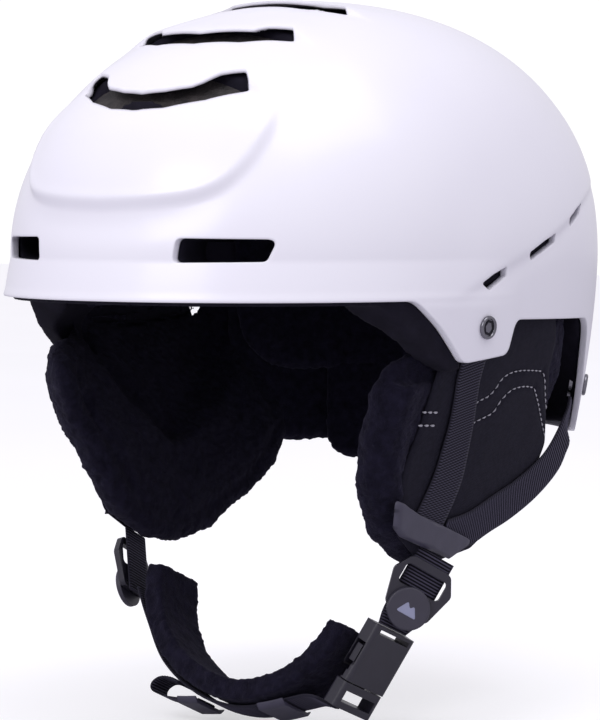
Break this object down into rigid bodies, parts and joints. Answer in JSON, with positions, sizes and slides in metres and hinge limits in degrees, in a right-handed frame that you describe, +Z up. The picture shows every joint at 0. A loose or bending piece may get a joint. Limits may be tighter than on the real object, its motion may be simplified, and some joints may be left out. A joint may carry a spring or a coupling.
{
  "type": "ski helmet",
  "caption": "Hard-shell ski helmet with a short brim, crown vents, plush ear flaps, a buckled chin strap and a rear fit dial.",
  "frame": {"origin": "on the dome's upright axis, level with the brim's lower edge, in the head opening", "axes": "+Z up to the crown, -Y to the brow, +X to the wearer's left"},
  "size_m": [0.226, 0.2962, 0.3058],
  "materials": {
    "shell_white": "satin gloss",
    "foam": "fine beads",
    "plush": "plush pile",
    "cover_fabric": "woven",
    "webbing": "ribbed",
    "dark_plastic": "satin",
    "keeper_rubber": "smooth",
    "rivet_steel": "polished",
    "mesh": "matt"
  },
  "bodies": {
    "shell": {"outer_shell": "shell_white", "eps_liner": "foam", "vent_mesh": "mesh", "brow_pad": "plush", "crown_pad": "plush", "side_pad_left": "plush", "side_pad_right": "plush", "nape_pad": "plush", "fit_cradle": "dark_plastic", "cradle_pins": "dark_plastic", "dial_housing": "dark_plastic", "dial_cover": "dark_plastic", "goggle_clip_base": "dark_plastic", "goggle_clip_screws": "rivet_steel", "goggle_clip_pin": "rivet_steel", "strap_rivets": "rivet_steel", "strap_anchors": "rivet_steel"},
    "fit_dial": {"fit_dial": "dark_plastic", "dial_pinion": "dark_plastic"},
    "rack_left": {"rack_left": "dark_plastic"},
    "rack_right": {"rack_right": "dark_plastic"},
    "goggle_clip_arm": {"goggle_clip_arm": "keeper_rubber"},
    "ear_flap_left": {"ear_pad_left": "plush", "ear_cover_left": "cover_fabric", "front_webbing_left": "webbing", "rear_webbing_left": "webbing", "strap_keeper_left": "keeper_rubber", "lower_webbing_left": "webbing", "slider_frame_left": "dark_plastic", "slider_cap_left": "dark_plastic", "buckle_socket": "dark_plastic"},
    "ear_flap_right": {"ear_pad_right": "plush", "ear_cover_right": "cover_fabric", "front_webbing_right": "webbing", "rear_webbing_right": "webbing", "strap_keeper_right": "keeper_rubber"},
    "chin_strap": {"lower_webbing_right": "webbing", "slider_frame_right": "dark_plastic", "slider_cap_right": "dark_plastic", "chin_pad": "plush", "chin_webbing": "webbing", "webbing_bands": "keeper_rubber", "pull_tab": "webbing", "buckle_plug": "dark_plastic"},
    "buckle_prong_front": {"buckle_prong_front": "dark_plastic"},
    "buckle_prong_rear": {"buckle_prong_rear": "dark_plastic"}
  },
  "joints": [
    {"name": "fit_dial_turn", "type": "hinge", "parent": "shell", "child": "fit_dial", "pos_m": [0, 0.122, -0.064], "axis": [0, 1, 0], "range_deg": [-90, 90]},
    {"name": "rack_left_slide", "type": "slide", "parent": "shell", "child": "rack_left", "axis": [1, 0, 0], "range_m": [-0.0064, 0.0064]},
    {"name": "rack_right_slide", "type": "slide", "parent": "shell", "child": "rack_right", "axis": [-1, 0, 0], "range_m": [-0.0064, 0.0064]},
    {"name": "goggle_clip_turn", "type": "hinge", "parent": "shell", "child": "goggle_clip_arm", "pos_m": [0, 0.14782, -0.04632], "axis": [1, 0, 0], "range_deg": [-110, 0]},
    {"name": "ear_flap_left_turn", "type": "hinge", "parent": "shell", "child": "ear_flap_left", "pos_m": [0.104, -0.022, -0.02], "axis": [0.1841, -0.947, 0.2631], "range_deg": [0, 18]},
    {"name": "ear_flap_right_turn", "type": "hinge", "parent": "shell", "child": "ear_flap_right", "pos_m": [-0.104, -0.022, -0.02], "axis": [0.1841, 0.947, -0.2631], "range_deg": [0, 18]},
    {"name": "chin_strap_swing", "type": "hinge", "parent": "ear_flap_right", "child": "chin_strap", "pos_m": [-0.08, -0.027, -0.101], "axis": [-0.045, 0.9189, -0.392], "range_deg": [0, 60]},
    {"name": "prong_front_flex", "type": "hinge", "parent": "chin_strap", "child": "buckle_prong_front", "pos_m": [0.06055, -0.04844, -0.15487], "axis": [0.9209, -0.2602, -0.2903], "range_deg": [-7, 0], "stiffness_Nm_per_rad": 0.05},
    {"name": "prong_rear_flex", "type": "hinge", "parent": "chin_strap", "child": "buckle_prong_rear", "pos_m": [0.06244, -0.03504, -0.16087], "axis": [0.9209, -0.2602, -0.2903], "range_deg": [0, 7], "stiffness_Nm_per_rad": 0.05}
  ],
  "couplings": [
    {"joint": "rack_left_slide", "follows": "fit_dial_turn", "m_per_rad": 0.004},
    {"joint": "rack_right_slide", "follows": "fit_dial_turn", "m_per_rad": 0.004},
    {"joint": "ear_flap_left_turn", "follows": "chin_strap_swing", "ratio": 0.3},
    {"joint": "ear_flap_right_turn", "follows": "chin_strap_swing", "ratio": 0.3}
  ]
}
